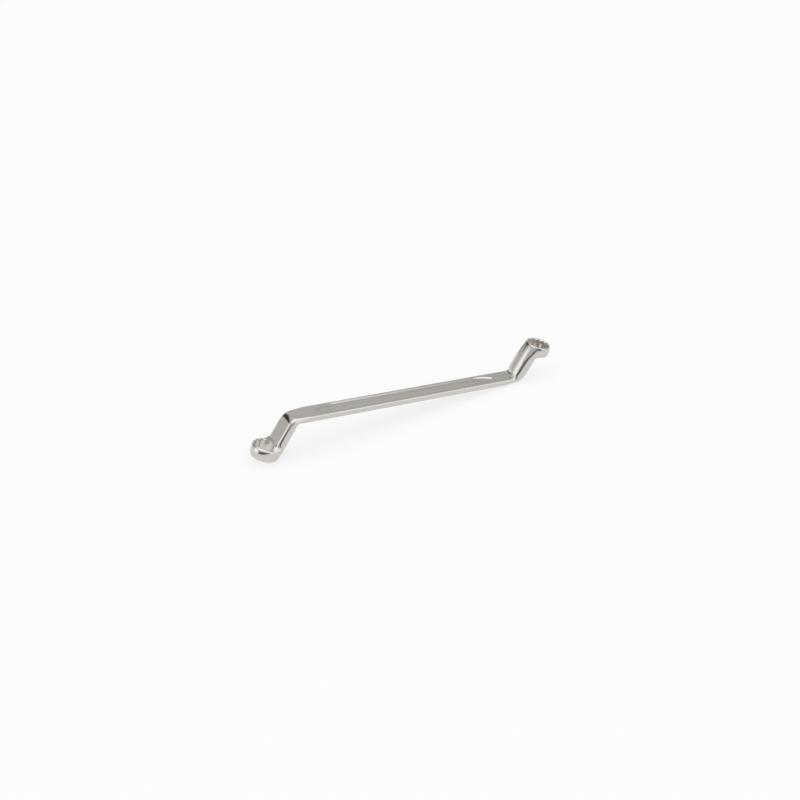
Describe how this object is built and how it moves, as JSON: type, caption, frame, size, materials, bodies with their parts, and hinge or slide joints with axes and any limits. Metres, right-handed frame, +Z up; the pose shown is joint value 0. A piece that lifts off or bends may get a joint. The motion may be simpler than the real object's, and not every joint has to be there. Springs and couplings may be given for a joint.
{
  "type": "ring spanner",
  "caption": "Double-ended offset ring spanner with 14 mm and 17 mm 12-point sockets on cranked necks, shank recessed on both faces.",
  "frame": {"origin": "centre of the bounding box in X and Y, at its lowest point: the spanner lies on the rim of its larger head and the underside of the far elbow", "axes": "+X along the length towards the smaller head, +Y across the shank, +Z up from the bench; the spanner is symmetric about the XZ plane"},
  "size_m": [0.2762, 0.0246, 0.0354],
  "materials": {
    "chrome_plate": "satin chrome plate over a drop forging"
  },
  "bodies": {
    "root": {"shank": "chrome_plate", "neck_17": "chrome_plate", "neck_14": "chrome_plate", "ring_head_17": "chrome_plate", "ring_head_14": "chrome_plate"}
  },
  "joints": []
}
